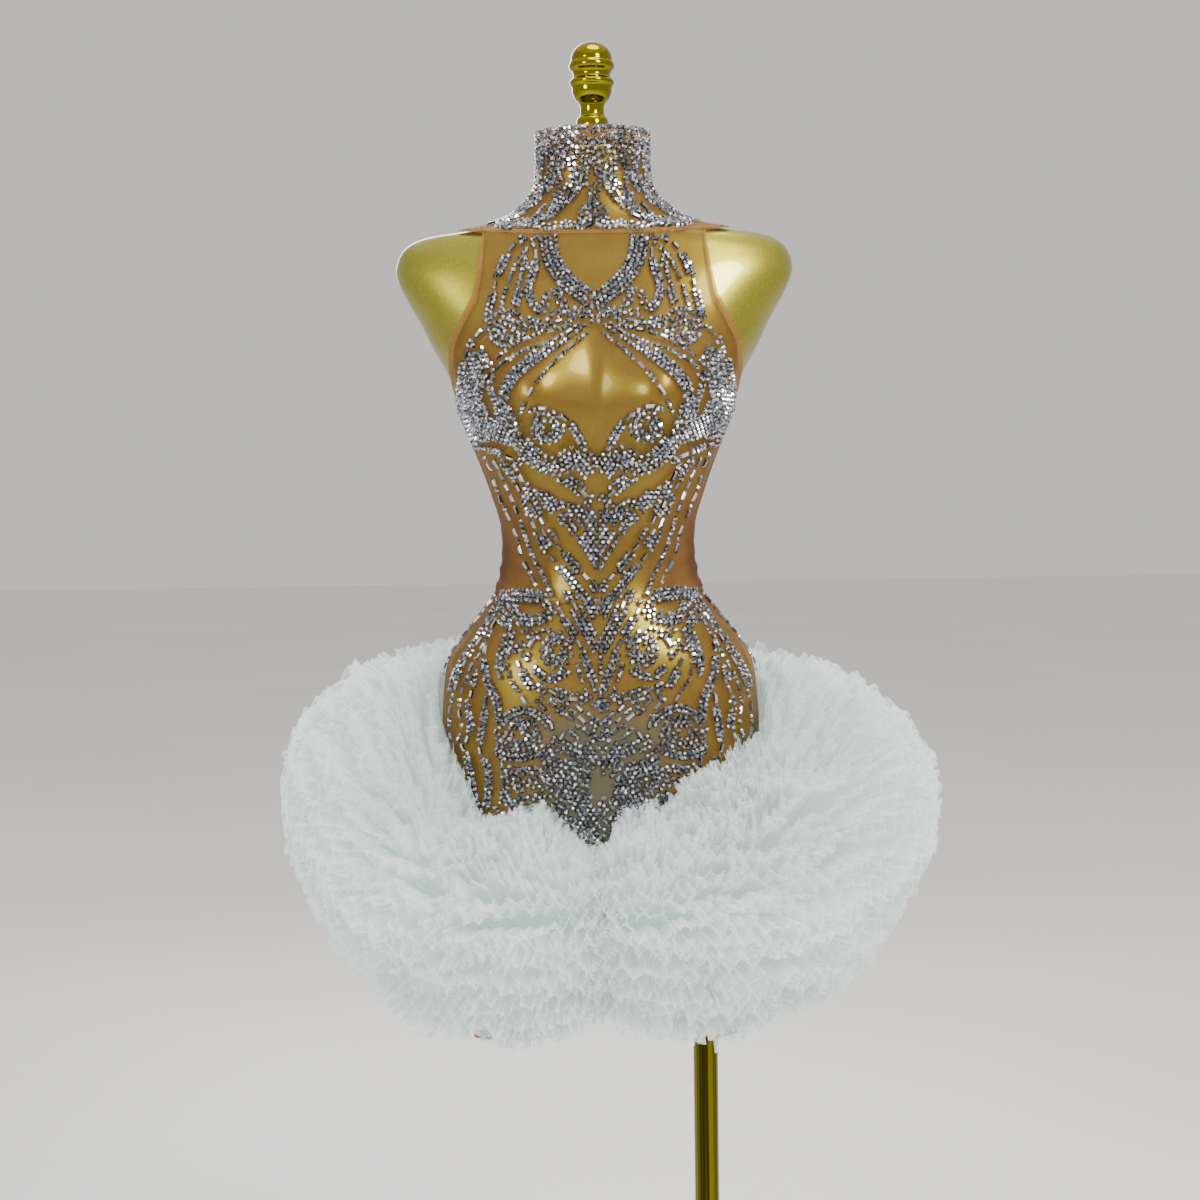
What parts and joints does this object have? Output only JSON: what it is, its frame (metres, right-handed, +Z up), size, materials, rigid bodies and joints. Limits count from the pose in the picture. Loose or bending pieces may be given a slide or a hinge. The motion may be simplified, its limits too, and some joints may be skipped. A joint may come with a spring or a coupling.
{
  "type": "rhinestone mesh mini dress on a limbless dress form stand",
  "caption": "Sleeveless high-neck mini dress of sheer nude mesh with rhinestone scrollwork and a thick white tulle ruffle, worn by a gold dress form on a pole stand.",
  "frame": {"origin": "centre of the base plate's underside, on the floor", "axes": "+Z up along the stand, the front of the dress faces -Y, +X is to the right for somebody looking at the front"},
  "size_m": [0.6618, 0.5526, 1.6201],
  "materials": {
    "nude_mesh": "sheer stretch mesh, nude tan, set with clear silver-foiled rhinestones",
    "white_tulle": "soft gathered nylon tulle, cool white",
    "gold_paint": "metallic gold lacquer over a hollow moulded form",
    "gold_chrome": "mirror gold plating"
  },
  "bodies": {
    "root": {"front_bodice": "nude_mesh", "back_bodice_right": "nude_mesh", "back_bodice_left": "nude_mesh", "front_skirt": "nude_mesh", "back_skirt": "nude_mesh", "collar": "nude_mesh", "ruffle_right_band": "white_tulle", "ruffle_right_inner_upper": "white_tulle", "ruffle_right_inner_lower": "white_tulle", "ruffle_right_middle_upper": "white_tulle", "ruffle_right_middle_lower": "white_tulle", "ruffle_right_outer_upper": "white_tulle", "ruffle_right_outer_lower": "white_tulle", "ruffle_left_band": "white_tulle", "ruffle_left_inner_upper": "white_tulle", "ruffle_left_inner_lower": "white_tulle", "ruffle_left_middle_upper": "white_tulle", "ruffle_left_middle_lower": "white_tulle", "ruffle_left_outer_upper": "white_tulle", "ruffle_left_outer_lower": "white_tulle", "form": "gold_paint", "base_plate": "gold_chrome", "pole": "gold_chrome", "neck_cap": "gold_chrome", "finial": "gold_chrome"}
  },
  "joints": []
}
